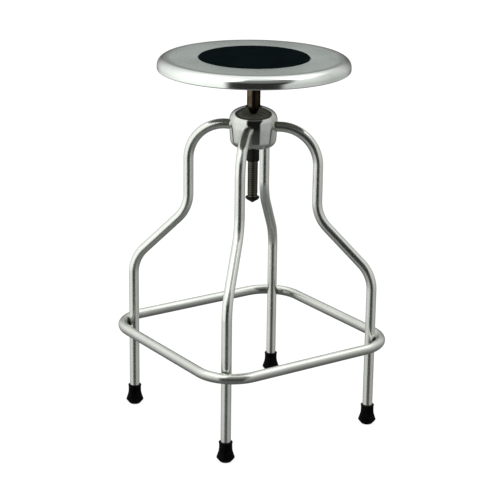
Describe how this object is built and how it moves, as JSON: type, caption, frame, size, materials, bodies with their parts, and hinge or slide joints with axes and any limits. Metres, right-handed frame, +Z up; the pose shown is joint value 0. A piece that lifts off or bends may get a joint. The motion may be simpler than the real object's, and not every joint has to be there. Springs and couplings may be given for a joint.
{
  "type": "swivel stool",
  "caption": "Stainless laboratory stool: a round padded seat that turns and rises on a lift screw, a polished hub, bent tube legs and a square foot ring.",
  "frame": {"origin": "on the floor, under the screw axis, midway between the four feet", "axes": "+Z up along the lift screw; X and Y along the sides of the foot ring, +Y to the back, so that the legs stand on the diagonals"},
  "size_m": [0.412, 0.412, 0.7026],
  "materials": {
    "leg_tube": "polished stainless tube",
    "ring_tube": "polished stainless tube",
    "seat_steel": "satin spun stainless sheet",
    "hub_metal": "mirror-polished casting",
    "tip_rubber": "moulded black rubber",
    "pad_rubber": "fine-grained black rubber sheet",
    "screw_steel": "dark oiled steel",
    "black_steel": "black oxide steel",
    "bush_plastic": "black nylon",
    "plate_paint": "black paint",
    "zinc_steel": "zinc plated"
  },
  "bodies": {
    "base": {"hub": "hub_metal", "guide_bush": "bush_plastic", "lift_nut": "black_steel", "leg_front_left": "leg_tube", "leg_front_right": "leg_tube", "leg_back_right": "leg_tube", "leg_back_left": "leg_tube", "foot_ring": "ring_tube", "ring_welds": "ring_tube", "foot_tip_front_left": "tip_rubber", "foot_tip_front_right": "tip_rubber", "foot_tip_back_right": "tip_rubber", "foot_tip_back_left": "tip_rubber", "tip_washers": "zinc_steel"},
    "lift": {"stop_washer": "black_steel"},
    "seat": {"seat_shell": "seat_steel", "seat_pad": "pad_rubber", "seat_plate": "plate_paint", "seat_studs": "zinc_steel", "stud_nuts": "zinc_steel", "screw_socket": "plate_paint", "socket_pin": "zinc_steel", "lift_screw": "screw_steel", "screw_sleeve": "screw_steel", "end_cap": "black_steel"}
  },
  "joints": [
    {"name": "height_slide", "type": "slide", "parent": "base", "child": "lift", "axis": [0, 0, 1], "range_m": [-0.0471, 0.0683]},
    {"name": "seat_turn", "type": "hinge", "parent": "lift", "child": "seat", "pos_m": [0, 0, 0.55], "axis": [0, 0, 1], "range_deg": [-4000, 5800]}
  ],
  "couplings": [
    {"joint": "height_slide", "follows": "seat_turn", "m_per_rad": 0.00067375}
  ]
}
